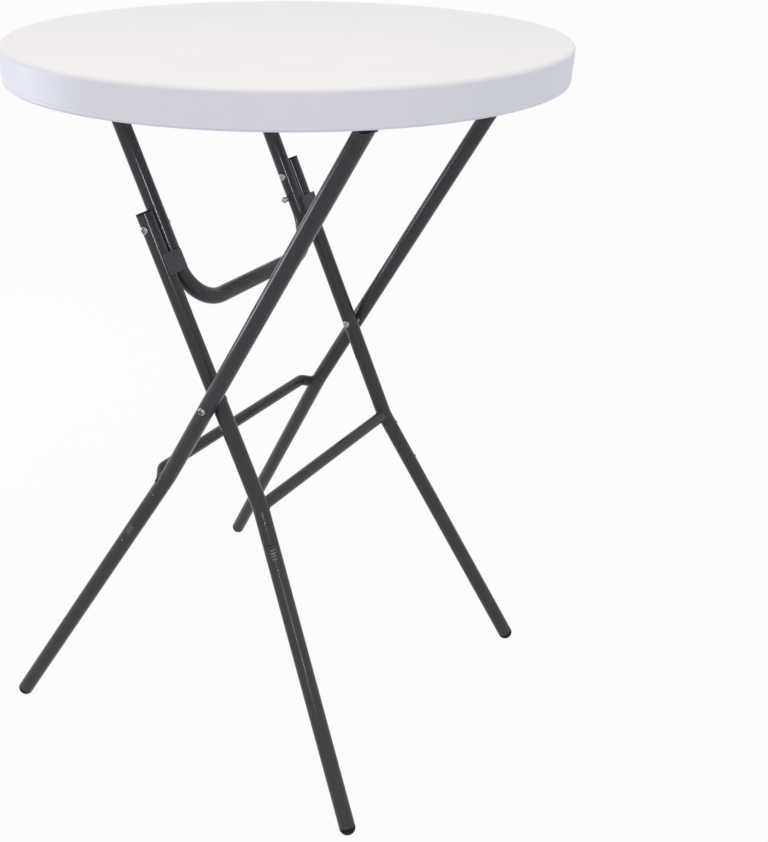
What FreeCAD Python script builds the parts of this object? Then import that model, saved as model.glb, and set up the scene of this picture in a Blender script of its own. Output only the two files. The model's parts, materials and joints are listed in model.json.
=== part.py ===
import FreeCAD, Part
import math
import os

import Sketcher

# Folding cocktail table, in millimetres. The origin is on the floor under the middle of the top, +Z is up,
# the frame folds in the XZ plane and all its pivots run along Y. Left is -Y and right is +Y.
# The outer leg frame hangs from a hinge at +X and stands at -X. The inner leg frame stands at +X, and a
# folding brace hangs it from a hinge at -X.

SIZES = {
    # Blow-moulded top
    "table_height": 1100.0,
    "top_diameter": 800.0,
    "rim_depth": 50.0,
    "rim_width": 30.0,
    "rim_draft": 1.5,
    "rim_inner_slope": 5.0,
    "rim_edge_radius": 4.0,
    "top_edge_radius": 6.0,
    "panel_depth": 28.0,
    "top_wall": 3.0,
    "parting_height": 7.0,
    "parting_depth": 0.3,
    "vent_diameter": 8.0,
    "tack_ring_1": 70.0,
    "tack_ring_2": 140.0,
    "tack_ring_3": 228.0,
    "tack_ring_4": 300.0,
    "tack_mouth_radius": 9.0,
    "tack_tip_radius": 4.0,
    "boss_diameter": 16.0,
    # Tubes
    "leg_diameter": 25.0,
    "leg_wall": 1.5,
    "bar_diameter": 19.0,
    "bar_wall": 1.2,
    "leg_bend_radius": 75.0,
    "outer_half_width": 221.0,
    "pivot_gap": 4.0,
    "brace_gap": 0.6,
    # Outer leg frame
    "hinge_rim_gap": 3.7688,
    "hinge_drop": 24.0,
    "outer_lean": 29.64,
    "hinge_to_pivot": 510.0,
    "outer_bend_drop": 154.0,
    "outer_splay": 11.0,
    "outer_joint_drop": 105.0,
    "outer_bar_drop": 172.0,
    "outer_bar_offset": 22.0,
    "outer_bar_seat": 4.0,
    "outer_bar_crank": 20.0,
    "outer_bar_bend": 15.0,
    # Inner leg frame
    "inner_lean": 25.3,
    "pivot_to_brace": 269.5,
    "inner_top_reach": 22.0,
    "inner_bend_drop": 173.0,
    "inner_splay": 11.6,
    "inner_toe": 1.9,
    "inner_joint_drop": 58.0,
    # Leg joints
    "sleeve_fit": 0.1,
    "sleeve_wall": 1.5,
    "outer_sleeve_up": 76.0,
    "inner_sleeve_up": 42.0,
    "sleeve_down": 56.0,
    "joint_chamfer": 1.0,
    "crimp_start": 8.0,
    "crimp_pitch": 4.6,
    "crimp_width": 2.4,
    "crimp_depth": 1.0,
    "rivet_diameter": 4.0,
    "rivet_head_diameter": 6.0,
    "rivet_head_height": 1.0,
    "rivet_head_round": 0.8,
    "rivet_fit": 0.05,
    "outer_rivet_up": 66.0,
    "inner_rivet_up": 34.0,
    "lower_rivet_down": 39.0,
    "outer_rivet_turn": 0.0,
    "inner_rivet_turn": 33.0,
    # Feet and plugs
    "plug_fit": 0.1,
    "foot_skirt": 1.0,
    "foot_tip_flat": 0.6,
    "plug_stem": 22.0,
    "plug_flange": 3.0,
    "plug_edge": 1.0,
    "plug_bolt_gap": 3.0,
    "hinge_plug_flange": 2.5,
    "hinge_tube_overhang": 9.0,
    # Brace
    "brace_reach": 129.0,
    "brace_bend_radius": 70.0,
    "plate_drop": 56.0,
    "plate_length": 32.0,
    "plate_thickness": 3.3,
    "plate_seat": 0.3,
    "plate_inset": 2.5,
    "plate_width": 39.0,
    "plate_clearance": 0.3,
    # Pivot bolts
    "bolt_diameter": 8.0,
    "bolt_fit": 0.1,
    "bolt_head_diameter": 12.0,
    "bolt_head_height": 3.8,
    "bolt_head_round": 3.0,
    "low_head_height": 2.6,
    "low_head_round": 2.0,
    "bolt_end_gap": 0.1,
    "bolt_socket_depth": 1.6,
    "bolt_socket_width": 5.0,
    "nut_diameter": 12.0,
    "nut_height": 2.6,
    "nut_round": 2.0,
    "nut_cap": 1.2,
    "nut_clearance": 0.3,
    "spacer_diameter": 17.0,
    "split_clearance": 0.2,
    # Lock pin
    "pin_diameter": 5.0,
    "pin_fit": 0.1,
    "pin_drop": 36.0,
    "pin_travel": 6.0,
    "pin_tip_gap": 0.4,
    "pin_hole_clearance": 0.3,
    "bush_diameter": 9.0,
    "bush_length": 6.0,
    "knob_diameter": 10.0,
    "knob_length": 8.0,
    "knob_round": 2.0,
    "knob_neck_diameter": 7.5,
    "knob_neck_length": 2.0,
    "knob_bore_depth": 5.0,
    # Hinge bearings under the top
    "hinge_fit": 0.3,
    "outer_saddle_spread": 150.0,
    "brace_saddle_spread": 110.0,
    "saddle_length": 72.0,
    "saddle_width": 24.0,
    "strap_thickness": 2.5,
    "screw_spread": 26.0,
    "screw_diameter": 5.0,
    "screw_fit": 0.1,
    "screw_head_diameter": 9.5,
    "screw_head_height": 3.0,
    "screw_head_round": 1.8,
    "screw_bite": 16.0,
}

# Rings of tack-off pits in the underside: name of the ring's radius, pits in the ring, turn of the first pit
TACK_RINGS = (("tack_ring_1", 6, 0.0), ("tack_ring_2", 12, 0.0), ("tack_ring_3", 18, 0.0),
              ("tack_ring_4", 24, 7.5))
CRIMP_COUNT = 4
# How far a cutting tool passes the face that it opens
MARGIN = 1.0
SIDES = (("left", -1), ("right", 1))

doc = FreeCAD.newDocument("folding_cocktail_table")
sheet = doc.addObject("Spreadsheet::Sheet", "Sizes")
NODES = []


class Size:
    """A number together with the sheet expression that gives it."""

    def __init__(self, value, text=None):
        self.value = float(value)
        self.text = text or repr(float(value))

    def join(self, sign, other, value):
        return Size(value, "(%s %s %s)" % (self.text, sign, other.text))

    def __add__(self, other):
        other = as_size(other)
        return self.join("+", other, self.value + other.value)

    def __sub__(self, other):
        other = as_size(other)
        return self.join("-", other, self.value - other.value)

    def __mul__(self, other):
        other = as_size(other)
        return self.join("*", other, self.value * other.value)

    def __truediv__(self, other):
        other = as_size(other)
        return self.join("/", other, self.value / other.value)

    def __neg__(self):
        return Size(-self.value, "(0 - %s)" % self.text)


def as_size(thing):
    return thing if isinstance(thing, Size) else Size(thing)


def sin_of(angle):
    return Size(math.sin(math.radians(angle.value)), "sin(%s)" % angle.text)


def cos_of(angle):
    return Size(math.cos(math.radians(angle.value)), "cos(%s)" % angle.text)


def tan_of(angle):
    return Size(math.tan(math.radians(angle.value)), "tan(%s)" % angle.text)


def atan_of(ratio):
    return Size(math.degrees(math.atan(ratio.value)), "(atan(%s) / 1 deg)" % ratio.text)


def root_of(square):
    return Size(math.sqrt(square.value), "sqrt(%s)" % square.text)


ROWS = []


def keep(name, value, content):
    """Writes one cell with its alias, and returns the size that reads it."""
    ROWS.append(name)
    cell = "B%d" % len(ROWS)
    sheet.set("A%d" % len(ROWS), name)
    sheet.set(cell, content)
    sheet.setAlias(cell, name)
    return Size(value, "Sizes.%s" % name)


def derive(name, size):
    return keep(name, size.value, "=" + size.text.replace("Sizes.", ""))


D = {name: keep(name, value, repr(value)) for name, value in SIZES.items()}

# Places worked out from the driving sizes
top_radius = derive("top_radius", D["top_diameter"] / 2)
leg_radius = derive("leg_radius", D["leg_diameter"] / 2)
leg_bore = derive("leg_bore", leg_radius - D["leg_wall"])
bar_radius = derive("bar_radius", D["bar_diameter"] / 2)
bar_bore = derive("bar_bore", bar_radius - D["bar_wall"])
rim_z = derive("rim_z", D["table_height"] - D["rim_depth"])
under_z = derive("under_z", D["table_height"] - D["panel_depth"])
hinge_z = derive("hinge_z", under_z - D["hinge_drop"])
rim_low_radius = derive("rim_low_radius", top_radius - D["rim_draft"])
rim_inner_radius = derive("rim_inner_radius", rim_low_radius - D["rim_width"])
recess_radius = derive("recess_radius", rim_inner_radius - D["rim_inner_slope"])
hinge_room = derive("hinge_room", recess_radius - D["hinge_rim_gap"])
hinge_reach = derive("hinge_reach", D["outer_half_width"] + D["hinge_tube_overhang"] + D["hinge_plug_flange"])
# The far corners of the outer hinge's plugs keep the gap to the recess
outer_hinge_x = derive("outer_hinge_x",
                       root_of(hinge_room * hinge_room - hinge_reach * hinge_reach) - leg_radius)
pivot_x = derive("pivot_x", outer_hinge_x - D["hinge_to_pivot"] * sin_of(D["outer_lean"]))
pivot_z = derive("pivot_z", hinge_z - D["hinge_to_pivot"] * cos_of(D["outer_lean"]))
pivot_to_hinge = derive("pivot_to_hinge", (hinge_z - pivot_z) / cos_of(D["inner_lean"]))
brace_hinge_x = derive("brace_hinge_x", pivot_x - pivot_to_hinge * sin_of(D["inner_lean"]))
inner_half_width = derive("inner_half_width", D["outer_half_width"] - D["leg_diameter"] - D["pivot_gap"])
brace_half_width = derive("brace_half_width", inner_half_width - D["leg_diameter"] - D["brace_gap"])
ZERO = Size(0.0, "0")


class Frame:
    """A tilted set of axes at the leg pivot: Z runs up along the legs, Y is the pivot axis."""

    def __init__(self, lean):
        self.lean = lean

    def place(self, thing):
        place(thing, (pivot_x, ZERO, pivot_z), (0, 1, 0), self.lean)


OUTER = Frame(D["outer_lean"])
INNER = Frame(-D["inner_lean"])


def place(thing, base=(ZERO, ZERO, ZERO), axis=(0, 0, 1), angle=ZERO):
    """Puts an object at a base point, turned about an axis, with its sizes read from the sheet."""
    base = [as_size(part) for part in base]
    turn = FreeCAD.Rotation(FreeCAD.Vector(*axis), angle.value)
    thing.Placement = FreeCAD.Placement(FreeCAD.Vector(*[part.value for part in base]), turn)
    for letter, part in zip("xyz", base):
        thing.setExpression("Placement.Base." + letter, part.text)
    if abs(angle.value) > 0:
        thing.setExpression("Placement.Rotation.Angle", angle.text)
    return thing


def bind(thing, **sizes):
    for name, size in sizes.items():
        thing.setExpression(name, as_size(size).text)
    return thing


def add_node(thing, label, frame=None):
    """Names a finished sub-part, and tilts it with its frame."""
    thing.Label = label
    if frame:
        frame.place(thing)
    NODES.append(thing)
    return thing


def cut(base, tools, name):
    result = doc.addObject("Part::Cut", name)
    result.Base = base
    result.Tool = tools[0] if len(tools) == 1 else fuse(tools, name + "_tools")
    return result


def group(members, name):
    result = doc.addObject("Part::Compound", name)
    result.Links = members
    return result


def fuse(members, name):
    result = doc.addObject("Part::MultiFuse", name)
    result.Shapes = members
    return result


def rod(name, radius, start, length, axis="y"):
    """A cylinder from a start point along one axis."""
    turns = {"x": ((0, 1, 0), Size(90.0)), "y": ((1, 0, 0), Size(-90.0)), "z": ((0, 0, 1), ZERO)}
    result = bind(doc.addObject("Part::Cylinder", name), Radius=radius, Height=length)
    return place(result, start, *turns[axis])


def across(name, radius, inner, outer, sign, x, z):
    """A cylinder along Y on one side of the table, between two distances from the middle."""
    start = inner if sign > 0 else -outer
    return rod(name, radius, (x, start, z), outer - inner)


def new_body(name):
    return doc.addObject("PartDesign::Body", name)


def origin_of(body, role):
    return next(part for part in body.Origin.OriginFeatures if part.Role == role)


def new_sketch(body, role, name, lift=ZERO):
    """A sketch on one of the body's origin planes, lifted along the plane's normal."""
    sketch = body.newObject("Sketcher::SketchObject", name)
    sketch.AttachmentSupport = [(origin_of(body, role), "")]
    sketch.MapMode = "FlatFace"
    if lift is not ZERO:
        sketch.AttachmentOffset = FreeCAD.Placement(FreeCAD.Vector(0, 0, lift.value), FreeCAD.Rotation())
        sketch.setExpression("AttachmentOffset.Base.z", lift.text)
    return sketch


def fix_point(sketch, geometry, end, point):
    for kind, size in zip(("DistanceX", "DistanceY"), point):
        size = as_size(size)
        index = sketch.addConstraint(Sketcher.Constraint(kind, -1, 1, geometry, end, size.value))
        sketch.setExpression("Constraints[%d]" % index, size.text)


def fix_radius(sketch, geometry, size):
    index = sketch.addConstraint(Sketcher.Constraint("Radius", geometry, size.value))
    sketch.setExpression("Constraints[%d]" % index, size.text)


def flat(point):
    return FreeCAD.Vector(as_size(point[0]).value, as_size(point[1]).value, 0)


def round_corner(before, corner, after, radius):
    """The two ends and the arc that rounds a corner, with the arc counter-clockwise."""
    to_before = (before - corner).normalize()
    to_after = (after - corner).normalize()
    half = to_before.getAngle(to_after) / 2
    reach = radius / math.tan(half)
    middle = corner + (to_before + to_after).normalize() * (radius / math.sin(half))
    first = corner + to_before * reach
    last = corner + to_after * reach
    turns_left = (-to_before).cross(to_after).z > 0
    low, high = (first, last) if turns_left else (last, first)
    start = math.atan2(low.y - middle.y, low.x - middle.x)
    stop = math.atan2(high.y - middle.y, high.x - middle.x)
    stop = stop if stop > start else stop + 2 * math.pi
    circle = Part.Circle(middle, FreeCAD.Vector(0, 0, 1), radius)
    return first, last, Part.ArcOfCircle(circle, start, stop), turns_left


def draw(sketch, points, closed=True):
    """Lines through points; a third value at a point is the radius that rounds it."""
    spots = [flat(point) for point in points]
    count = len(points)
    ends = [[spot, spot] for spot in spots]
    arcs = {}
    for i, point in enumerate(points):
        if len(point) == 3:
            before, after = spots[i - 1], spots[(i + 1) % count]
            ends[i][0], ends[i][1], arc, turns_left = round_corner(before, spots[i], after, point[2].value)
            arcs[i] = (sketch.addGeometry(arc), turns_left)
    runs = count if closed else count - 1
    lines = [sketch.addGeometry(Part.LineSegment(ends[i][1], ends[(i + 1) % count][0])) for i in range(runs)]
    for i, point in enumerate(points):
        arrives = lines[i - 1] if closed or i > 0 else None
        leaves = lines[i] if i < runs else None
        if i in arcs:
            arc, turns_left = arcs[i]
            sketch.addConstraint(Sketcher.Constraint("Tangent", arrives, 2, arc, 1 if turns_left else 2))
            sketch.addConstraint(Sketcher.Constraint("Tangent", leaves, 1, arc, 2 if turns_left else 1))
            fix_radius(sketch, arc, point[2])
            corner = sketch.addGeometry(Part.Point(spots[i]), True)
            fix_point(sketch, corner, 1, point)
            sketch.addConstraint(Sketcher.Constraint("PointOnObject", corner, 1, arrives))
            sketch.addConstraint(Sketcher.Constraint("PointOnObject", corner, 1, leaves))
            continue
        if arrives is not None and leaves is not None:
            sketch.addConstraint(Sketcher.Constraint("Coincident", arrives, 2, leaves, 1))
        fix_point(sketch, *((leaves, 1) if leaves is not None else (arrives, 2)), point)
    return sketch


def draw_circle(sketch, centre, radius):
    circle = Part.Circle(flat(centre), FreeCAD.Vector(0, 0, 1), radius.value)
    geometry = sketch.addGeometry(circle)
    fix_point(sketch, geometry, 3, centre)
    fix_radius(sketch, geometry, radius)
    return sketch


def turned(name, points):
    """A body turned about Z from a profile of radius and height."""
    body = new_body(name)
    profile = draw(new_sketch(body, "XZ_Plane", name + "_profile"), points)
    turn = body.newObject("PartDesign::Revolution", name + "_turn")
    turn.Profile = profile
    turn.ReferenceAxis = (profile, ["V_Axis"])
    turn.Angle = 360
    return body


def padded(name, role, points, length, lift=ZERO):
    """A body raised from an outline on one of the origin planes."""
    body = new_body(name)
    pad = body.newObject("PartDesign::Pad", name + "_pad")
    pad.Profile = draw(new_sketch(body, role, name + "_outline", lift), points)
    bind(pad, Length=length)
    return body


def swept(name, path_role, path, profile_role, centre, radius, lift=ZERO, path_lift=ZERO, mirror=None):
    """A round bar carried along a path, and mirrored to the other side if it is symmetric."""
    body = new_body(name)
    spine = draw(new_sketch(body, path_role, name + "_path", path_lift), path, closed=False)
    profile = draw_circle(new_sketch(body, profile_role, name + "_section", lift), centre, radius)
    pipe = body.newObject("PartDesign::AdditivePipe", name + "_pipe")
    pipe.Profile = profile
    pipe.Spine = (spine, [])
    if mirror:
        copy = body.newObject("PartDesign::Mirrored", name + "_mirror")
        copy.Originals = [pipe]
        copy.MirrorPlane = (origin_of(body, mirror), [""])
        body.Tip = copy
    return body


# Round top: one hollow blow-moulded piece with a deep rim, tack-off pits and screw bosses underneath
def make_top():
    body = new_body("top_blank")
    wall = D["top_wall"]
    height = D["table_height"]
    part_z = rim_z + D["parting_height"]
    nick = D["parting_depth"]
    outer = [(ZERO, height), (top_radius, height, D["top_edge_radius"]), (rim_low_radius, part_z + nick),
             (rim_low_radius - nick, part_z), (rim_low_radius, part_z - nick),
             (rim_low_radius, rim_z, D["rim_edge_radius"]), (rim_inner_radius, rim_z, D["rim_edge_radius"]),
             (recess_radius, under_z), (ZERO, under_z)]
    cavity = [(ZERO, height - wall), (top_radius - wall, height - wall, D["top_edge_radius"] - wall),
              (rim_low_radius - wall - nick, rim_z + wall), (rim_inner_radius + wall, rim_z + wall),
              (recess_radius + wall, under_z + wall), (ZERO, under_z + wall)]
    profile = draw(new_sketch(body, "XZ_Plane", "top_profile"), outer)
    solid = body.newObject("PartDesign::Revolution", "top_turn")
    solid.Profile = profile
    solid.ReferenceAxis = (profile, ["V_Axis"])
    solid.Angle = 360
    hollow_profile = draw(new_sketch(body, "XZ_Plane", "top_hollow_profile"), cavity)
    hollow = body.newObject("PartDesign::Groove", "top_hollow")
    hollow.Profile = hollow_profile
    hollow.ReferenceAxis = (hollow_profile, ["V_Axis"])
    hollow.Angle = 360
    posts = new_sketch(body, "XY_Plane", "boss_outline", under_z)
    for spot in screw_spots():
        draw_circle(posts, spot, D["boss_diameter"] / 2)
    bosses = body.newObject("PartDesign::Pad", "bosses")
    bosses.Profile = posts
    bind(bosses, Length=D["panel_depth"] - wall / 2)
    for ring, count, first in TACK_RINGS:
        wide = D["tack_mouth_radius"] + wall
        narrow = D["tack_tip_radius"] + wall
        tack_ring(body, "PartDesign::AdditiveCone", ring + "_cones", D[ring], count, first, wide, narrow,
                  D["panel_depth"] - wall / 2)
    for ring, count, first in TACK_RINGS:
        tack_ring(body, "PartDesign::SubtractiveCone", ring + "_pits", D[ring], count, first,
                  D["tack_mouth_radius"], D["tack_tip_radius"], D["panel_depth"] - wall)
    holes = new_sketch(body, "XY_Plane", "pilot_outline", under_z)
    for spot in screw_spots():
        draw_circle(holes, spot, D["screw_diameter"] / 2 + D["screw_fit"])
    drill(body, "pilot_holes", holes, D["screw_bite"] + MARGIN)
    vent = new_sketch(body, "XY_Plane", "vent_outline", under_z)
    draw_circle(vent, (ZERO, ZERO), D["vent_diameter"] / 2)
    drill(body, "vent", vent, wall * 2)
    add_node(body, "table_top")


def drill(body, name, outline, depth):
    """A pocket that goes up from the underside of the top."""
    pocket = body.newObject("PartDesign::Pocket", name)
    pocket.Profile = outline
    pocket.Reversed = True
    bind(pocket, Length=depth)


def tack_ring(body, kind, name, ring, count, first, wide, narrow, height):
    """A ring of cones that join the underside to the top skin, or hollow those cones out."""
    cone = body.newObject(kind, name)
    cone.AttachmentSupport = [(origin_of(body, "XY_Plane"), "")]
    cone.MapMode = "FlatFace"
    turn = math.radians(first)
    base = (ring * math.cos(turn), ring * math.sin(turn), under_z)
    spot = FreeCAD.Vector(*[part.value for part in base])
    cone.AttachmentOffset = FreeCAD.Placement(spot, FreeCAD.Rotation())
    for letter, part in zip("xyz", base):
        cone.setExpression("AttachmentOffset.Base." + letter, part.text)
    bind(cone, Radius1=wide, Radius2=narrow, Height=height)
    doc.recompute()
    pattern = body.newObject("PartDesign::PolarPattern", name + "_ring")
    pattern.Originals = [cone]
    pattern.Axis = (origin_of(body, "Z_Axis"), [""])
    pattern.Angle = 360
    pattern.Occurrences = count
    body.Tip = pattern
    doc.recompute()


HINGES = (("outer", outer_hinge_x, D["outer_saddle_spread"]),
          ("brace", brace_hinge_x, D["brace_saddle_spread"]))


def screw_spots():
    for tag, hinge_x, spread in HINGES:
        for side, sign in SIDES:
            for end in (-1, 1):
                yield (hinge_x + D["screw_spread"] * end, spread * sign)


# Hinge bearings: a plastic saddle against the underside and a steel strap that closes it round the tube
def make_bearings():
    half = D["saddle_length"] / 2
    bore = leg_radius + D["hinge_fit"]
    width = D["saddle_width"]
    strap = bore + D["strap_thickness"]
    hole = D["screw_diameter"] / 2 + D["screw_fit"]
    for tag, hinge_x, spread in HINGES:
        for side, sign in SIDES:
            name = "%s_hinge_saddle_%s" % (tag, side)
            # The XZ sketch plane's normal points to -Y, so a pad grows that way from its lift.
            lift = -(spread * sign) - width / 2
            block = padded(name + "_block", "XZ_Plane",
                           [(hinge_x - half, hinge_z), (hinge_x + half, hinge_z), (hinge_x + half, under_z),
                            (hinge_x - half, under_z)], width, lift)
            seat = rod(name + "_seat", bore, (hinge_x, spread * sign - width, hinge_z), width * 2)
            drills = [rod("%s_hole_%d" % (name, end), hole,
                          (hinge_x + D["screw_spread"] * end, spread * sign, hinge_z - MARGIN),
                          D["hinge_drop"] + MARGIN * 2, "z")
                      for end in (-1, 1)]
            add_node(cut(block, [seat] + drills, name), name)
            name = "%s_hinge_strap_%s" % (tag, side)
            flange = padded(name + "_flange", "XZ_Plane",
                            [(hinge_x - half, hinge_z - D["strap_thickness"]),
                             (hinge_x + half, hinge_z - D["strap_thickness"]), (hinge_x + half, hinge_z),
                             (hinge_x - half, hinge_z)], width, lift)
            hoop = rod(name + "_hoop", strap, (hinge_x, spread * sign - width / 2, hinge_z), width)
            above = doc.addObject("Part::Box", name + "_above")
            bind(above, Length=half * 2, Width=width * 2, Height=half)
            place(above, (hinge_x - half, spread * sign - width, hinge_z))
            seat = rod(name + "_seat", bore, (hinge_x, spread * sign - width, hinge_z), width * 2)
            drills = [rod("%s_hole_%d" % (name, end), hole,
                          (hinge_x + D["screw_spread"] * end, spread * sign, hinge_z - half), half * 2, "z")
                      for end in (-1, 1)]
            band = fuse([flange, hoop], name + "_band")
            add_node(cut(band, [above, seat] + drills, name), name)
    screws = []
    for number, (x, y) in enumerate(screw_spots()):
        head_z = hinge_z - D["strap_thickness"]
        length = D["hinge_drop"] + D["strap_thickness"] + D["screw_bite"]
        head = D["screw_head_diameter"] / 2
        shank = D["screw_diameter"] / 2
        screw = turned("saddle_screw_%d" % number,
                       [(ZERO, -D["screw_head_height"]),
                        (head, -D["screw_head_height"], D["screw_head_round"]), (head, ZERO), (shank, ZERO),
                        (shank, length - shank), (ZERO, length)])
        screws.append(place(screw, (x, y, head_z)))
    add_node(group(screws, "saddle_screw_group"), "saddle_screws")


def lay(thing, base, aim):
    """Puts a turned piece at a base point, with its Z along aim."""
    lift = FreeCAD.Vector(0, 0, 1)
    return place(thing, base, tuple(lift.cross(aim)), Size(math.degrees(lift.getAngle(aim))))


class Legs:
    """One pair of legs: where its tubes bend, splay and end, in the axes of its frame."""

    def __init__(self, tag, frame, half_width, top, splay, toe):
        self.tag = tag
        self.frame = frame
        self.half_width = half_width
        self.top = top
        self.bend_drop = D[tag + "_bend_drop"]
        self.joint_drop = D[tag + "_joint_drop"]
        self.splay_slope = tan_of(splay)
        toe_slope = tan_of(toe)
        square = self.splay_slope * self.splay_slope + toe_slope * toe_slope
        self.bend = derive(tag + "_bend", atan_of(root_of(square)))
        self.turn = derive(tag + "_turn", atan_of(toe_slope / self.splay_slope))
        # The lower leg ends in a ball that touches the floor: its height is the ball's reach along the tilt.
        upright = cos_of(frame.lean) + toe_slope * sin_of(frame.lean)
        fall = derive(tag + "_fall", upright * cos_of(self.bend))
        ball = derive(tag + "_ball", leg_radius - D["foot_tip_flat"])
        reach = ball + D["foot_tip_flat"] * root_of(Size(1.0) - fall * fall)
        bend_z = pivot_z - self.bend_drop * cos_of(frame.lean)
        self.ball = ball
        self.lower = derive(tag + "_lower", (bend_z - reach) / fall)

    def side_turn(self, sign):
        """Turn about the leg's own axis that points the bend outwards on this side."""
        return -self.turn if sign > 0 else self.turn - 180

    def heading(self, sign):
        """Unit vector, square to the upper leg, that the bend leans towards."""
        turn = math.radians(self.turn.value)
        return FreeCAD.Vector(math.sin(turn), sign * math.cos(turn), 0)

    def bend_spot(self, sign):
        return (ZERO, self.half_width * sign, -self.bend_drop)

    def place_lower(self, thing, sign):
        """Puts a turned piece on the splayed part of a leg, with its zero at the bend."""
        ahead = self.heading(sign)
        return place(thing, self.bend_spot(sign), (ahead.y, -ahead.x, 0), self.bend)

    def side_of(self, sign, drop, turn):
        """A spot on the axis of a leg's splayed part, the way along that part and a way out of its side."""
        ahead = self.heading(sign)
        down = FreeCAD.Vector(0, 0, -1)
        bend = math.radians(self.bend.value)
        along = down * math.cos(bend) + ahead * math.sin(bend)
        outward = ahead * math.cos(bend) - down * math.sin(bend)
        sideways = along.cross(outward) * sign
        aim = outward * math.cos(math.radians(turn.value)) + sideways * math.sin(math.radians(turn.value))
        return [spot + drop * part for spot, part in zip(self.bend_spot(sign), along)], along, aim

    def place_rivet(self, thing, sign, drop, turn):
        """Puts a turned piece square to the splayed part of a leg, pointing out of its side."""
        base, along, aim = self.side_of(sign, drop, turn)
        return lay(thing, base, aim)

    def place_crimp(self, thing, sign, drop, turn, reach, half):
        """Lays a bar across the side of a leg's splayed part, so far out from its axis."""
        base, along, aim = self.side_of(sign, drop, turn)
        across = along.cross(aim)
        start = [spot + reach * out - half * side for spot, out, side in zip(base, aim, across)]
        return lay(thing, start, across)

    def blank(self, name, sign, radius):
        """The upper leg's outline as a solid bar: straight down, one bend, then out to the joint."""
        end = (self.joint_drop * sin_of(self.bend), -self.bend_drop - self.joint_drop * cos_of(self.bend))
        path = [(ZERO, self.top), (ZERO, -self.bend_drop, D["leg_bend_radius"]), end]
        bar = swept(name, "YZ_Plane", path, "XY_Plane", (ZERO, ZERO), radius, lift=self.top)
        return place(bar, (ZERO, self.half_width * sign, ZERO), (0, 0, 1), self.side_turn(sign))


inner_top = derive("inner_top", D["pivot_to_brace"] + D["inner_top_reach"])
OUTER_LEGS = Legs("outer", OUTER, D["outer_half_width"], D["hinge_to_pivot"], D["outer_splay"], ZERO)
INNER_LEGS = Legs("inner", INNER, inner_half_width, inner_top, D["inner_splay"], D["inner_toe"])
sleeve_radius = derive("sleeve_radius", leg_bore - D["sleeve_fit"])
sleeve_bore = derive("sleeve_bore", sleeve_radius - D["sleeve_wall"])
bolt_hole = derive("bolt_hole", D["bolt_diameter"] / 2 + D["bolt_fit"])
nut_depth = derive("nut_depth", D["nut_height"] - D["nut_cap"] - D["bolt_end_gap"])
pin_z = derive("pin_z", D["pivot_to_brace"] - D["pin_drop"])


def tube_hole(name, radius, half_width, sign, z):
    """A drill along Y through one leg or arm."""
    return across(name, radius, half_width - D["leg_diameter"], half_width + D["leg_diameter"], sign, ZERO, z)


# Blind rivets through a leg tube and its joint sleeve, one on each side of the table
def make_rivets(legs, label, drop, turn):
    shank = D["rivet_diameter"] / 2
    head = D["rivet_head_diameter"] / 2
    crown = leg_radius + D["rivet_head_height"]
    outline = [(ZERO, sleeve_bore), (shank, sleeve_bore), (shank, leg_radius), (head, leg_radius),
               (head, crown, D["rivet_head_round"]), (ZERO, crown)]
    rivets = [legs.place_rivet(turned("%s_%s" % (label, side), outline), sign, drop, turn)
              for side, sign in SIDES]
    add_node(group(rivets, label + "_group"), label, legs.frame)


def rivet_hole(legs, name, sign, drop, turn):
    hole = doc.addObject("Part::Cylinder", name)
    bind(hole, Radius=D["rivet_diameter"] / 2 + D["rivet_fit"], Height=D["leg_diameter"])
    return legs.place_rivet(hole, sign, drop, turn)


def crimp(legs, name, sign, number):
    """The punch that dents a leg across its side, to hold it on the sleeve."""
    punch = doc.addObject("Part::Cylinder", name)
    bind(punch, Radius=D["crimp_width"] / 2, Height=leg_radius * 2)
    drop = legs.joint_drop + D["crimp_start"] + D["crimp_pitch"] * number
    reach = leg_radius - D["crimp_depth"] + D["crimp_width"] / 2
    return legs.place_crimp(punch, sign, drop, D[legs.tag + "_rivet_turn"], reach, leg_radius)


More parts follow.
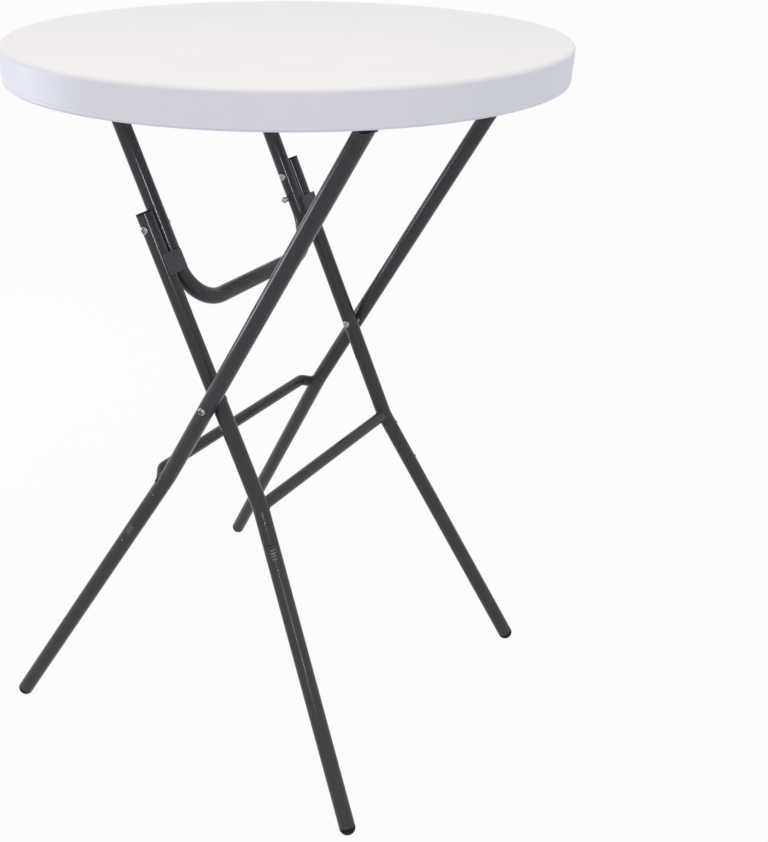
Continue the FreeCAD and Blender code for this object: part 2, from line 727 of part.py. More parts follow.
# Leg tubes, joint sleeves, rivets and feet of one leg frame; returns the solid bars of the upper legs
def make_legs(legs, upper_holes):
    tag = legs.tag
    bars = []
    joint = legs.joint_drop
    chamfer = D["joint_chamfer"]
    foot_top = -(legs.lower - D["foot_skirt"])
    foot_end = -(legs.lower + legs.ball)
    stem = leg_bore - D["plug_fit"]
    upper_rivet = (joint - D[tag + "_rivet_up"], D[tag + "_rivet_turn"])
    lower_rivet = (joint + D["lower_rivet_down"], D[tag + "_rivet_turn"])
    make_rivets(legs, tag + "_upper_rivets", *upper_rivet)
    make_rivets(legs, tag + "_lower_rivets", *lower_rivet)
    for side, sign in SIDES:
        name = "%s_upper_leg_%s" % (tag, side)
        bar = legs.blank(name + "_bar", sign, leg_radius)
        bore = legs.blank(name + "_bore", sign, leg_bore)
        bars.append(bar)
        tools = [bore, rivet_hole(legs, name + "_rivet_hole", sign, *upper_rivet)] + upper_holes(name, sign)
        add_node(cut(bar, tools, name), name, legs.frame)

        name = "%s_lower_leg_%s" % (tag, side)
        outline = [(leg_bore, -joint), (leg_radius - chamfer, -joint), (leg_radius, -joint - chamfer),
                   (leg_radius, foot_top), (leg_bore, foot_top)]
        tube = legs.place_lower(turned(name + "_tube", outline), sign)
        tools = [rivet_hole(legs, name + "_rivet_hole", sign, *lower_rivet)]
        tools += [crimp(legs, "%s_crimp_%d" % (name, number), sign, number) for number in range(CRIMP_COUNT)]
        add_node(cut(tube, tools, name), name, legs.frame)

        name = "%s_leg_sleeve_%s" % (tag, side)
        low = -(joint + D["sleeve_down"])
        high = -(joint - D[tag + "_sleeve_up"])
        outline = [(sleeve_bore, low), (sleeve_radius, low), (sleeve_radius, high), (sleeve_bore, high)]
        tube = legs.place_lower(turned(name + "_tube", outline), sign)
        holes = [rivet_hole(legs, name + "_upper_hole", sign, *upper_rivet),
                 rivet_hole(legs, name + "_lower_hole", sign, *lower_rivet)]
        add_node(cut(tube, holes, name), name, legs.frame)

        name = "%s_foot_%s" % (tag, side)
        outline = [(ZERO, foot_end), (leg_radius, foot_end, legs.ball), (leg_radius, foot_top),
                   (stem, foot_top), (stem, foot_top + D["plug_stem"]), (ZERO, foot_top + D["plug_stem"])]
        foot = legs.place_lower(turned(name + "_plug", outline), sign)
        add_node(group([foot], name), name, legs.frame)
    return bars


def end_plug(name, flange, depth):
    """A plastic plug: a flange over the tube's end and a stem in its bore."""
    stem = leg_bore - D["plug_fit"]
    return turned(name, [(ZERO, -depth), (stem, -depth), (stem, ZERO), (leg_radius, ZERO),
                         (leg_radius, flange, D["plug_edge"]), (ZERO, flange)])


def sideways(thing, sign, x, distance, z):
    """Lays a turned piece along Y on one side, with its Z pointing outwards."""
    return place(thing, (x, distance * sign, z), (1, 0, 0), Size(-90.0 * sign))


# Hinge tube across the top of a frame, with a plug in each end
def make_hinge_tube(tag, frame, half_width, z):
    reach = half_width + D["hinge_tube_overhang"]
    name = tag + "_hinge_tube"
    outside = rod(name + "_bar", leg_radius, (ZERO, -reach, z), reach * 2)
    inside = rod(name + "_bore", leg_bore, (ZERO, -reach, z), reach * 2)
    add_node(cut(outside, [inside], name), name, frame)
    plugs = []
    for side, sign in SIDES:
        plug = end_plug("%s_hinge_plug_%s" % (tag, side), D["hinge_plug_flange"], D["plug_stem"])
        plugs.append(sideways(plug, sign, ZERO, reach, z))
    add_node(group(plugs, tag + "_hinge_plug_group"), tag + "_hinge_plugs", frame)


def hinge_cope(name, frame_width, z):
    """The hinge tube's outline, which shapes the tube ends that are welded to it."""
    reach = frame_width + D["leg_diameter"]
    return rod(name, leg_radius, (ZERO, -reach, z), reach * 2)


# Outer leg frame, with its cranked crossbar set back so that the inner legs fold in beside it
def make_outer_frame():
    def upper_holes(name, sign):
        return [tube_hole(name + "_pivot_hole", bolt_hole, D["outer_half_width"], sign, ZERO),
                hinge_cope(name + "_cope", D["outer_half_width"], D["hinge_to_pivot"])]

    bars = make_legs(OUTER_LEGS, upper_holes)
    make_hinge_tube("outer", OUTER, D["outer_half_width"], D["hinge_to_pivot"])
    end = D["outer_half_width"] + (D["outer_bar_drop"] - D["outer_bend_drop"]) * OUTER_LEGS.splay_slope
    path = [(-D["outer_bar_offset"], ZERO),
            (-D["outer_bar_offset"], D["outer_half_width"] - D["outer_bar_crank"], D["outer_bar_bend"]),
            (-D["outer_bar_seat"], end)]
    centre = (-D["outer_bar_offset"], -D["outer_bar_drop"])
    bar, bore = [swept("outer_crossbar_" + word, "XY_Plane", path, "XZ_Plane", centre, radius,
                       path_lift=-D["outer_bar_drop"], mirror="XZ_Plane")
                 for word, radius in (("bar", bar_radius), ("bore", bar_bore))]
    add_node(cut(bar, [bore] + bars, "outer_crossbar_tube"), "outer_crossbar", OUTER)


# Inner leg frame, with plugged top ends and a straight crossbar at the bends
def make_inner_frame():
    def upper_holes(name, sign):
        holes = [tube_hole(name + "_pivot_hole", bolt_hole, inner_half_width, sign, ZERO),
                 tube_hole(name + "_brace_hole", bolt_hole, inner_half_width, sign, D["pivot_to_brace"])]
        if sign > 0:
            lock = D["pin_diameter"] / 2 + D["pin_hole_clearance"]
            holes.append(across(name + "_lock_hole", lock, inner_half_width - D["leg_diameter"],
                                inner_half_width, sign, ZERO, pin_z))
        return holes

    bars = make_legs(INNER_LEGS, upper_holes)
    # The plugs stop short of the brace bolts that cross the tubes below them.
    depth = D["inner_top_reach"] - D["bolt_diameter"] / 2 - D["plug_bolt_gap"]
    for side, sign in SIDES:
        name = "inner_leg_plug_" + side
        plug = end_plug(name + "_cap", D["plug_flange"], depth)
        place(plug, (ZERO, inner_half_width * sign, inner_top))
        add_node(group([plug], name), name, INNER)
    start = (ZERO, -inner_half_width, -D["inner_bend_drop"])
    bar = rod("inner_crossbar_bar", bar_radius, start, inner_half_width * 2)
    bore = rod("inner_crossbar_bore", bar_bore, start, inner_half_width * 2)
    add_node(cut(bar, [bore] + bars, "inner_crossbar_tube"), "inner_crossbar", INNER)


# Folding brace: one bent tube between the inner legs, in line with them when the table stands
def make_brace():
    low = D["pivot_to_brace"] - D["brace_reach"]
    path = [(ZERO, low), (brace_half_width, low, D["brace_bend_radius"]), (brace_half_width, pivot_to_hinge)]
    bar, bore = [swept("brace_" + word, "YZ_Plane", path, "XZ_Plane", (ZERO, low), radius, mirror="XZ_Plane")
                 for word, radius in (("bar", leg_radius), ("bore", leg_bore))]
    tools = [bore, hinge_cope("brace_cope", brace_half_width, pivot_to_hinge)]
    tools += [tube_hole("brace_hole_" + side, bolt_hole, brace_half_width, sign, D["pivot_to_brace"])
              for side, sign in SIDES]
    pin_hole = D["pin_diameter"] / 2 + D["pin_fit"]
    tools.append(tube_hole("brace_pin_hole", pin_hole, brace_half_width, 1, pin_z))
    add_node(cut(bar, tools, "brace_cut"), "brace_tube", INNER)
    make_hinge_tube("brace", INNER, brace_half_width, pivot_to_hinge)
    for side, sign in SIDES:
        name = "stop_plate_" + side
        inside = brace_half_width - D["plate_inset"]
        start = inside if sign > 0 else -(inside + D["plate_width"])
        low = D["pivot_to_brace"] - D["plate_drop"] - D["plate_length"] / 2
        plate = bind(doc.addObject("Part::Box", name + "_blank"), Length=D["plate_thickness"],
                     Width=D["plate_width"], Height=D["plate_length"])
        place(plate, (leg_radius - D["plate_seat"], start, low))
        leg = rod(name + "_leg", leg_radius + D["plate_clearance"], (ZERO, inner_half_width * sign, ZERO),
                  pivot_to_hinge, "z")
        add_node(cut(plate, [bar, leg], name), name, INNER)


def bolt(name, head_height, head_round, length):
    """A round-headed bolt with a socket in its head; Z zero is under the head."""
    head = D["bolt_head_diameter"] / 2
    shank = D["bolt_diameter"] / 2
    socket = D["bolt_socket_width"] / 2
    floor = head_height - D["bolt_socket_depth"]
    return turned(name, [(ZERO, floor), (socket, floor), (socket, head_height),
                         (head, head_height, head_round), (head, ZERO), (shank, ZERO), (shank, -length),
                         (ZERO, -length)])


def barrel_nut(name):
    """The low, round, closed head of a barrel nut; Z zero is its crown, and the bolt ends in it."""
    head = D["nut_diameter"] / 2
    return turned(name, [(ZERO, ZERO), (head, ZERO, D["nut_round"]), (head, D["nut_height"]),
                         (bolt_hole, D["nut_height"]), (bolt_hole, D["nut_cap"]), (ZERO, D["nut_cap"])])


# Bolts, nuts and spacers where the leg frames cross
def make_leg_pivots():
    head_at = D["outer_half_width"] + leg_radius
    nut_at = inner_half_width - leg_radius - D["nut_clearance"]
    length = head_at - nut_at + nut_depth
    spacer_in = inner_half_width + leg_radius + D["nut_clearance"]
    spacer_out = D["outer_half_width"] - leg_radius
    bolts, nuts, spacers = [], [], []
    for side, sign in SIDES:
        screw = bolt("pivot_bolt_" + side, D["bolt_head_height"], D["bolt_head_round"], length)
        bolts.append(sideways(screw, sign, ZERO, head_at, ZERO))
        nuts.append(sideways(barrel_nut("pivot_nut_" + side), sign, ZERO, nut_at - D["nut_height"], ZERO))
        ring = across("pivot_ring_" + side, D["spacer_diameter"] / 2, spacer_in, spacer_out, sign, ZERO, ZERO)
        hole = across("pivot_ring_hole_" + side, bolt_hole, spacer_in - MARGIN, spacer_out + MARGIN, sign,
                      ZERO, ZERO)
        spacers.append(cut(ring, [hole], "pivot_spacer_" + side))
    add_node(group(bolts, "pivot_bolt_group"), "pivot_bolts", OUTER)
    add_node(group(nuts, "pivot_nut_group"), "pivot_nuts", OUTER)
    add_node(group(spacers, "pivot_spacer_group"), "pivot_spacers", OUTER)


# Brace pivots: the bolt's head and shank in the inner leg, its far end and nut in the brace arm
def make_brace_pivots():
    head_at = inner_half_width + leg_radius
    arm_in = brace_half_width - leg_radius
    bolts, ends, nuts = [], [], []
    for side, sign in SIDES:
        length = D["leg_diameter"] - D["split_clearance"]
        screw = bolt("brace_bolt_" + side, D["low_head_height"], D["low_head_round"], length)
        bolts.append(sideways(screw, sign, ZERO, head_at, D["pivot_to_brace"]))
        ends.append(across("brace_bolt_end_" + side, D["bolt_diameter"] / 2, arm_in - nut_depth,
                           brace_half_width + leg_radius - D["split_clearance"], sign, ZERO,
                           D["pivot_to_brace"]))
        nuts.append(sideways(barrel_nut("brace_nut_" + side), sign, ZERO, arm_in - D["nut_height"],
                             D["pivot_to_brace"]))
    add_node(group(bolts, "brace_bolt_group"), "brace_bolts", INNER)
    add_node(group(ends, "brace_bolt_end_group"), "brace_bolt_ends", INNER)
    add_node(group(nuts, "brace_nut_group"), "brace_nuts", INNER)


# Lock pin on the right brace arm, drawn back until its tip is just clear of the leg
def make_lock():
    arm_in = brace_half_width - leg_radius
    pin_radius = D["pin_diameter"] / 2
    hole = pin_radius + D["pin_fit"]
    bush_in = arm_in - D["bush_length"]
    knob_out = bush_in - D["pin_travel"] - D["pin_fit"]
    knob_in = knob_out - D["knob_length"]
    tip = inner_half_width - leg_radius - D["pin_tip_gap"]
    ring = across("lock_bush_ring", D["bush_diameter"] / 2, bush_in, brace_half_width, 1, ZERO, pin_z)
    arm = rod("lock_bush_arm", leg_radius, (ZERO, brace_half_width, ZERO), pivot_to_hinge, "z")
    bore = across("lock_bush_bore", hole, bush_in - MARGIN, brace_half_width, 1, ZERO, pin_z)
    add_node(cut(ring, [arm, bore], "lock_bush_cut"), "lock_bush", INNER)
    pin = across("lock_pin_rod", pin_radius, knob_out - D["knob_bore_depth"], tip, 1, ZERO, pin_z)
    add_node(group([pin], "lock_pin_group"), "lock_pin", INNER)
    radius = D["knob_diameter"] / 2
    neck = D["knob_neck_diameter"] / 2
    depth = D["knob_length"]
    shoulder = depth - D["knob_neck_length"]
    bottom = depth - D["knob_bore_depth"]
    knob = turned("lock_knob_blank", [(ZERO, ZERO), (radius, ZERO, D["knob_round"]),
                                      (radius, shoulder, D["knob_round"]), (neck, shoulder), (neck, depth),
                                      (hole, depth), (hole, bottom), (ZERO, bottom)])
    sideways(knob, 1, ZERO, knob_in, pin_z)
    add_node(group([knob], "lock_knob_group"), "lock_knob", INNER)


# Every object has to be sound before anything is written
def check_and_write():
    doc.recompute()
    for thing in doc.Objects:
        bad = [word for word in thing.State if word in ("Invalid", "Error")]
        if bad:
            raise RuntimeError("%s is %s" % (thing.Label, ", ".join(bad)))
    os.makedirs("parts", exist_ok=True)
    for node in NODES:
        if node.Shape.isNull() or not node.Shape.isValid():
            raise RuntimeError("%s has no sound shape" % node.Label)
    for node in NODES:
        node.Shape.exportStep("parts/%s.step" % node.Label)
        print("%-28s %2d solids %10.0f mm3" % (node.Label, len(node.Shape.Solids), node.Shape.Volume))


make_top()
make_bearings()
make_outer_frame()
make_inner_frame()
make_brace()
make_leg_pivots()
make_brace_pivots()
make_lock()
check_and_write()
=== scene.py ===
import json

import bmesh
import bpy
import numpy as np
from mathutils import Euler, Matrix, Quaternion, Vector


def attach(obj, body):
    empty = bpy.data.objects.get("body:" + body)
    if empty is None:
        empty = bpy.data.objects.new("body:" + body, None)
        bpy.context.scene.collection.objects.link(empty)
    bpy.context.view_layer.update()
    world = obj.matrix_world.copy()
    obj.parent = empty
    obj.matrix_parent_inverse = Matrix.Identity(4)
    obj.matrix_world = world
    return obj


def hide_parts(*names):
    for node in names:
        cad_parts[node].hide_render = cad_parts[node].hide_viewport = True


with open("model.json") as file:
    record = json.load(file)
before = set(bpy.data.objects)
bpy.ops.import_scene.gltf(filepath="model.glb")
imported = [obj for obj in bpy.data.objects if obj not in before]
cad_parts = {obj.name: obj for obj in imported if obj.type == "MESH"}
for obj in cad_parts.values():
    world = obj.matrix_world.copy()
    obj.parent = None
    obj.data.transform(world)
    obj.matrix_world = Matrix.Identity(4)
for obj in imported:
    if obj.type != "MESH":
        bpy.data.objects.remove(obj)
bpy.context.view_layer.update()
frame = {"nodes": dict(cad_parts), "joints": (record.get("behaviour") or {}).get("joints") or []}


# Table top: one hollow round piece of white high-density polyethylene, blow-moulded in two halves.
# The mould leaves a fine pebble on the upper skin, a smooth rim, slow waves where the wall cooled, and a
# line where the halves met.
def linear(code):
    """sRGB hex to linear: parts under 0.04045 are divided by 12.92, the rest follow the 2.4 power curve."""
    parts = np.array([int(code[i:i + 2], 16) for i in (1, 3, 5)]) / 255
    parts = np.where(parts <= 0.04045, parts / 12.92, ((parts + 0.055) / 1.055) ** 2.4)
    return (*parts.tolist(), 1.0)


def add(tree, kind, sockets=None, **settings):
    """Adds a node: settings are its own values, sockets its inputs, each a value or the output it reads."""
    node = tree.nodes.new(kind)
    for name, value in settings.items():
        setattr(node, name, value)
    for key, value in (sockets or {}).items():
        if isinstance(value, bpy.types.NodeSocket):
            tree.links.new(value, node.inputs[key])
        else:
            node.inputs[key].default_value = value
    return node


def start_finish(name, **sockets):
    """Opens a material: gives it, its node tree, its shader with these socket values, and its coordinates."""
    finish = bpy.data.materials.new(name)
    finish.use_nodes = True
    tree = finish.node_tree
    shader = tree.nodes["Principled BSDF"]
    for key, value in sockets.items():
        shader.inputs[key.replace("_", " ")].default_value = value
    return finish, tree, shader, add(tree, "ShaderNodeTexCoord")


def put(name, grids, finish, body, replaced=(), crease=35.0):
    """One piece from grids of points, each with rows, columns round and x, y, z: a four-sided face joins each
    point to the next in its row and column, columns close on themselves, and poles are merged."""
    points, faces, first = [], [], 0
    for grid in grids:
        rows, columns = grid.shape[:2]
        index = first + np.arange(rows * columns).reshape(rows, columns)
        index = np.concatenate([index, index[:, :1]], axis=1)
        corners = index[:-1, :-1], index[:-1, 1:], index[1:, 1:], index[1:, :-1]
        faces.append(np.stack(corners, -1).reshape(-1, 4))
        points.append(grid.reshape(-1, 3))
        first += rows * columns
    mesh = bpy.data.meshes.new(name)
    mesh.from_pydata(np.concatenate(points).tolist(), [], np.concatenate(faces).tolist())
    work = bmesh.new()
    work.from_mesh(mesh)
    bmesh.ops.remove_doubles(work, verts=work.verts, dist=1e-6)
    bmesh.ops.dissolve_degenerate(work, edges=work.edges, dist=1e-7)
    bmesh.ops.recalc_face_normals(work, faces=work.faces)
    work.to_mesh(mesh)
    work.free()
    mesh.shade_smooth()
    mesh.set_sharp_from_angle(angle=np.radians(crease))
    mesh.materials.append(finish)
    piece = bpy.data.objects.new(name, mesh)
    bpy.context.scene.collection.objects.link(piece)
    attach(piece, body)
    if replaced:
        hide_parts(*replaced)
    return piece


TOP_WHITE = "#F3F1F0"
TOP_SHADE = "#EDECEC"
PEBBLE = 0.0026         # the real pebble is near 0.8 mm, too fine to show, so it is drawn coarser
COOLING_WAVE = 0.085
CLOUD = 0.16
polyethylene, tree, shader, place = start_finish("moulded_white_polyethylene", Roughness=0.5, IOR=1.5)
facing = add(tree, "ShaderNodeSeparateXYZ", {"Vector": place.outputs["Normal"]})
upper_skin = add(tree, "ShaderNodeMapRange", {"Value": facing.outputs["Z"], "From Min": 0.75,
                                              "From Max": 0.97})
pebble = add(tree, "ShaderNodeTexNoise", {"Vector": place.outputs["Object"], "Scale": 1 / PEBBLE,
                                          "Detail": 2.0})
pebble = add(tree, "ShaderNodeMath", {0: pebble.outputs["Fac"], 1: upper_skin.outputs["Result"]},
             operation="MULTIPLY")
wave = add(tree, "ShaderNodeTexNoise", {"Vector": place.outputs["Object"], "Scale": 1 / COOLING_WAVE})
skin = add(tree, "ShaderNodeBump", {"Height": wave.outputs["Fac"], "Strength": 0.12, "Distance": 0.004})
skin = add(tree, "ShaderNodeBump", {"Height": pebble.outputs["Value"], "Strength": 0.22, "Distance": 0.0007,
                                    "Normal": skin.outputs["Normal"]})
cloud = add(tree, "ShaderNodeTexNoise", {"Vector": place.outputs["Object"], "Scale": 1 / CLOUD,
                                         "Detail": 3.0})
# A colour mix has its factor at socket 0, its colours at 6 and 7 and its result at output 2.
white = add(tree, "ShaderNodeMix", {0: cloud.outputs["Fac"], 6: linear(TOP_WHITE), 7: linear(TOP_SHADE)},
            data_type="RGBA")
gloss = add(tree, "ShaderNodeMapRange", {"Value": cloud.outputs["Fac"], "To Min": 0.46, "To Max": 0.54})
tree.links.new(white.outputs[2], shader.inputs["Base Color"])
tree.links.new(gloss.outputs["Result"], shader.inputs["Roughness"])
tree.links.new(skin.outputs["Normal"], shader.inputs["Normal"])

TOP_RADIUS, TOP_HEIGHT, TOP_EDGE = 0.4, 1.1, 0.006
LOW_RADIUS, RIM_Z, RIM_EDGE = 0.3985, 1.05, 0.004
PARTING_Z, PARTING = 1.057, 0.0003
RIM_INNER, RECESS_RADIUS, UNDER_Z = 0.3685, 0.3635, 1.072
MOUTH, TIP, PIT_TOP = 0.009, 0.004, 1.097
VENT, VENT_TOP = 0.004, 1.078
# Rings of pits: radius, pits, angle of the first, and the circles within and outside that bound each ring
PIT_RINGS = ((0.07, 6, 0.0, 0.03, 0.105), (0.14, 12, 0.0, 0.105, 0.184), (0.228, 18, 0.0, 0.184, 0.264),
             (0.3, 24, 7.5, 0.264, 0.332))


def rounded(corners, steps=16, support=0.0004):
    """Rows of a profile with round corners: from the corner, both touching points lie radius over the tangent
    of the half angle away, and the arc between them is a blend of the two radii by sines. A row just outside
    each arc keeps the flats flat."""
    corners = np.asarray(corners, float)
    neighbours = np.roll(corners, 1, axis=0), corners, np.roll(corners, -1, axis=0)
    rows = []
    for before, (x, z, radius), after in zip(*neighbours):
        corner = np.array((x, z))
        if radius == 0:
            rows.append(corner[None])
            continue
        back, ahead = (way / np.linalg.norm(way) for way in (before[:2] - corner, after[:2] - corner))
        half = np.arccos(back @ ahead) / 2
        touch = radius / np.tan(half)
        centre = corner + (back + ahead) / np.linalg.norm(back + ahead) * radius / np.sin(half)
        sweep = np.pi - 2 * half
        share = np.linspace(0, 1, steps)[:, None]
        arc = (np.sin((1 - share) * sweep) * (corner + touch * back - centre)
               + np.sin(share * sweep) * (corner + touch * ahead - centre)) / np.sin(sweep) + centre
        rows += [corner[None] + (touch + support) * back, arc, corner[None] + (touch + support) * ahead]
    return np.concatenate(rows)


def ring_rows(profile, sides=360):
    """Profile rows of radius and height, turned round the middle of the table."""
    angle = np.linspace(0, 2 * np.pi, sides, endpoint=False)
    return np.stack([profile[:, :1] * np.cos(angle), profile[:, :1] * np.sin(angle),
                     np.repeat(profile[:, 1:], sides, axis=1)], axis=-1)


def pits(radius, count, first, inside, outside, steps=12):
    """A ring of the underside as one patch for each pit: a loop round its sector, the pit's mouth, its tip
    and the tip's middle. Mouth and tip points lie on the lines from the pit's middle to the loop."""
    half = 180 / count
    arc = np.arange(-half, half)
    fall = np.linspace(outside, inside, steps, endpoint=False)
    rise = fall[::-1] + inside - fall[-1]
    reach = np.concatenate([np.full(len(arc), outside), fall, np.full(len(arc), inside), rise])
    turn = np.concatenate([arc, np.full(steps, half), -arc, np.full(steps, -half)])
    height = np.array((UNDER_Z, UNDER_Z, PIT_TOP, PIT_TOP))
    for middle in first + 360 / count * np.arange(count):
        angle = np.radians(turn + middle)
        loop = np.stack([reach * np.cos(angle), reach * np.sin(angle)], -1)
        spot = radius * np.array((np.cos(np.radians(middle)), np.sin(np.radians(middle))))
        way = (loop - spot) / np.linalg.norm(loop - spot, axis=1, keepdims=True)
        flat = np.stack([loop, spot + MOUTH * way, spot + TIP * way, np.broadcast_to(spot, way.shape)])
        yield np.concatenate([flat, np.broadcast_to(height[:, None, None], (4, len(way), 1))], axis=-1)


shell = rounded([(0, TOP_HEIGHT, 0), (TOP_RADIUS, TOP_HEIGHT, TOP_EDGE), (LOW_RADIUS, PARTING_Z + PARTING, 0),
                 (LOW_RADIUS - PARTING, PARTING_Z, 0), (LOW_RADIUS, PARTING_Z - PARTING, 0),
                 (LOW_RADIUS, RIM_Z, RIM_EDGE), (RIM_INNER, RIM_Z, RIM_EDGE), (RECESS_RADIUS, UNDER_Z, 0),
                 (PIT_RINGS[-1][-1], UNDER_Z, 0)])
vent = np.array(((PIT_RINGS[0][3], UNDER_Z), (VENT, UNDER_Z), (VENT, VENT_TOP), (0, VENT_TOP)))
underside = [grid for ring in PIT_RINGS for grid in pits(*ring)]
top = put("moulded_round_top", [ring_rows(shell), ring_rows(vent), *underside], polyethylene, "top",
          ["table_top"])


# Hinge bearings: off-white nylon saddles, injection-moulded, under the top, each closed round its hinge
# tube by a bent strap of zinc-plated steel strip.
def dress(finish, *names):
    """Gives CAD nodes their finish."""
    for name in names:
        mesh = frame["nodes"][name].data
        mesh.materials.clear()
        mesh.materials.append(finish)


# Moulded nylon is a waxy off-white that shows the fine grain of its mould.
NYLON = "#D9D8D3"
NYLON_SHADE = "#CFCEC8"
MOULD_GRAIN = 0.0015
nylon, tree, shader, place = start_finish("moulded_nylon", Roughness=0.5, IOR=1.53)
grain = add(tree, "ShaderNodeTexNoise", {"Vector": place.outputs["Object"], "Scale": 1 / MOULD_GRAIN,
                                         "Detail": 2.0})
tone = add(tree, "ShaderNodeMix", {0: grain.outputs["Fac"], 6: linear(NYLON), 7: linear(NYLON_SHADE)},
           data_type="RGBA")
skin = add(tree, "ShaderNodeBump", {"Height": grain.outputs["Fac"], "Strength": 0.15, "Distance": 0.0003})
tree.links.new(tone.outputs[2], shader.inputs["Base Color"])
tree.links.new(skin.outputs["Normal"], shader.inputs["Normal"])
SADDLES = ["%s_hinge_saddle_%s" % (tag, side) for tag in ("outer", "brace") for side in ("left", "right")]
dress(nylon, *SADDLES)

# Bright zinc plate is a cool grey metal whose shine is clouded in spots a few millimetres wide.
ZINC = "#A5A7AB"
ZINC_CLOUD = "#8F9297"
BRIGHT_SPOT = 0.004
zinc, tree, shader, place = start_finish("bright_zinc_plate", Metallic=1.0, Roughness=0.28)
bright = add(tree, "ShaderNodeTexNoise", {"Vector": place.outputs["Object"], "Scale": 1 / BRIGHT_SPOT,
                                          "Detail": 3.0})
tone = add(tree, "ShaderNodeMix", {0: bright.outputs["Fac"], 6: linear(ZINC), 7: linear(ZINC_CLOUD)},
           data_type="RGBA")
gloss = add(tree, "ShaderNodeMapRange", {"Value": bright.outputs["Fac"], "To Min": 0.2, "To Max": 0.38})
tree.links.new(tone.outputs[2], shader.inputs["Base Color"])
tree.links.new(gloss.outputs["Result"], shader.inputs["Roughness"])
dress(zinc, *[name.replace("saddle", "strap") for name in SADDLES])


# Saddle screws: eight pan-head self-tapping screws of zinc-plated steel, cold-headed with a cross recess,
# driven up through the straps and saddles into bosses of the top.
def axes_of(aim):
    """Three unit vectors at right angles, the last along aim."""
    aim = np.asarray(aim, float) / np.linalg.norm(aim)
    other = np.eye(3)[np.argmin(np.abs(aim))]
    across = np.cross(other, aim)
    across /= np.linalg.norm(across)
    return np.stack([across, np.cross(aim, across), aim])


def turned(profile, spot, aim, sides=48):
    """A profile turned round an axis: spot + radius * (cos a, sin a across the axis) + height * aim."""
    profile = np.asarray(profile, float)
    angle = np.linspace(0, 2 * np.pi, sides, endpoint=False)
    local = np.stack([profile[:, :1] * np.cos(angle), profile[:, :1] * np.sin(angle),
                      np.repeat(profile[:, 1:], sides, axis=1)], axis=-1)
    return np.asarray(spot) + local @ axes_of(aim)


def shank_of(radius, length):
    """Radius and height rows of a plain shank with a chamfered tip, up to the underside of its head."""
    return [(0, -length), (radius * 0.7, -length), (radius, -length + radius * 0.3), (radius, 0)]


def headed(spot, aim, head, height, rounding, below, recess, sides=96):
    """A round head on the rows below it: a quarter circle curves in to a flat crown, which sinks by the cross
    recess. Along each arm that is depth times a smooth step of the distance to the arm's edge and its end."""
    curve = np.linspace(0, np.pi / 2, 9)
    edge = np.stack([head - rounding + rounding * np.cos(curve),
                     height - rounding + rounding * np.sin(curve)], -1)
    crown = np.stack([np.linspace(head - rounding, 0, 22)[1:], np.full(21, height)], -1)
    profile = np.concatenate([below, [(head, 0)], edge, crown])
    grid = turned(profile, (0, 0, 0), (0, 0, 1), sides)
    x, y = np.abs(grid[..., 0]), np.abs(grid[..., 1])
    arm, reach, soft = head * 0.15, head * 0.68, head * 0.08
    depth = [np.clip((arm - side) / soft + 1, 0, 1) * np.clip((reach - along) / soft, 0, 1)
             for side, along in ((x, y), (y, x))]
    on_crown = (np.arange(len(profile)) > len(below))[:, None]
    grid[..., 2] -= recess * np.maximum(*depth) * on_crown
    return np.asarray(spot) + grid @ axes_of(aim)


JOINTS = {joint["name"]: joint for joint in frame["joints"]}
LEG_HINGE = np.array(JOINTS["leg_fold"]["pos_m"])
CROSSING = np.array(JOINTS["leg_cross"]["pos_m"])
BRACE_HINGE = np.array(JOINTS["brace_fold"]["pos_m"])
STRAP = 0.0025
SCREW_SPREAD = 0.026
SADDLE_SPOTS = ((LEG_HINGE, 0.150), (BRACE_HINGE, 0.110))   # each hinge, and its saddles' way from the middle
SCREW_SHANK = shank_of(0.0025, 0.0425)
SCREW_HEAD = {"head": 0.00475, "height": 0.003, "rounding": 0.0018, "recess": 0.0013}
screws = [headed((hinge[0] + SCREW_SPREAD * end, spread * side, hinge[2] - STRAP), (0, 0, -1),
                 below=SCREW_SHANK, sides=64, **SCREW_HEAD)
          for hinge, spread in SADDLE_SPOTS for side in (-1, 1) for end in (-1, 1)]
put("saddle_cross_head_screws", screws, zinc, "top", ["saddle_screws"])


# Outer leg frame: bent tubes of cold-rolled steel, with a cranked crossbar and a hinge tube welded in.
# The frame is powder-coated charcoal, a semi-gloss that flows out to a faint orange peel.
COAT = "#403D3D"
COAT_LIGHT = "#484545"
DENT_HIGHLIGHT = "#828083"   # painted highlight: a paler grey in each dent, for the glints along its edges
COAT_MOTTLE = 0.033
ORANGE_PEEL = 0.0035    # the real peel is near 1.5 mm, drawn coarser so that it shows
coat, tree, shader, place = start_finish("charcoal_powder_coat", Roughness=0.13, IOR=1.5,
                                         Specular_IOR_Level=0.18)
peel = add(tree, "ShaderNodeTexNoise", {"Vector": place.outputs["Object"], "Scale": 1 / ORANGE_PEEL,
                                        "Detail": 1.0})
mottle = add(tree, "ShaderNodeTexNoise", {"Vector": place.outputs["Object"], "Scale": 1 / COAT_MOTTLE,
                                          "Detail": 4.0})
tone = add(tree, "ShaderNodeMix", {0: mottle.outputs["Fac"], 6: linear(COAT), 7: linear(COAT_LIGHT)},
           data_type="RGBA")
# A paler grey is painted in each dent through its mask: a painted highlight for the glints the dents catch.
dent_highlight = add(tree, "ShaderNodeAttribute", attribute_name="dent")
tone = add(tree, "ShaderNodeMix", {0: dent_highlight.outputs["Fac"], 6: tone.outputs[2], 7: linear(DENT_HIGHLIGHT)},
           data_type="RGBA")
gloss = add(tree, "ShaderNodeMapRange", {"Value": mottle.outputs["Fac"], "To Min": 0.11, "To Max": 0.15})
skin = add(tree, "ShaderNodeBump", {"Height": peel.outputs["Fac"], "Strength": 0.002, "Distance": 0.0004})
tree.links.new(tone.outputs[2], shader.inputs["Base Color"])
tree.links.new(gloss.outputs["Result"], shader.inputs["Roughness"])
tree.links.new(skin.outputs["Normal"], shader.inputs["Normal"])


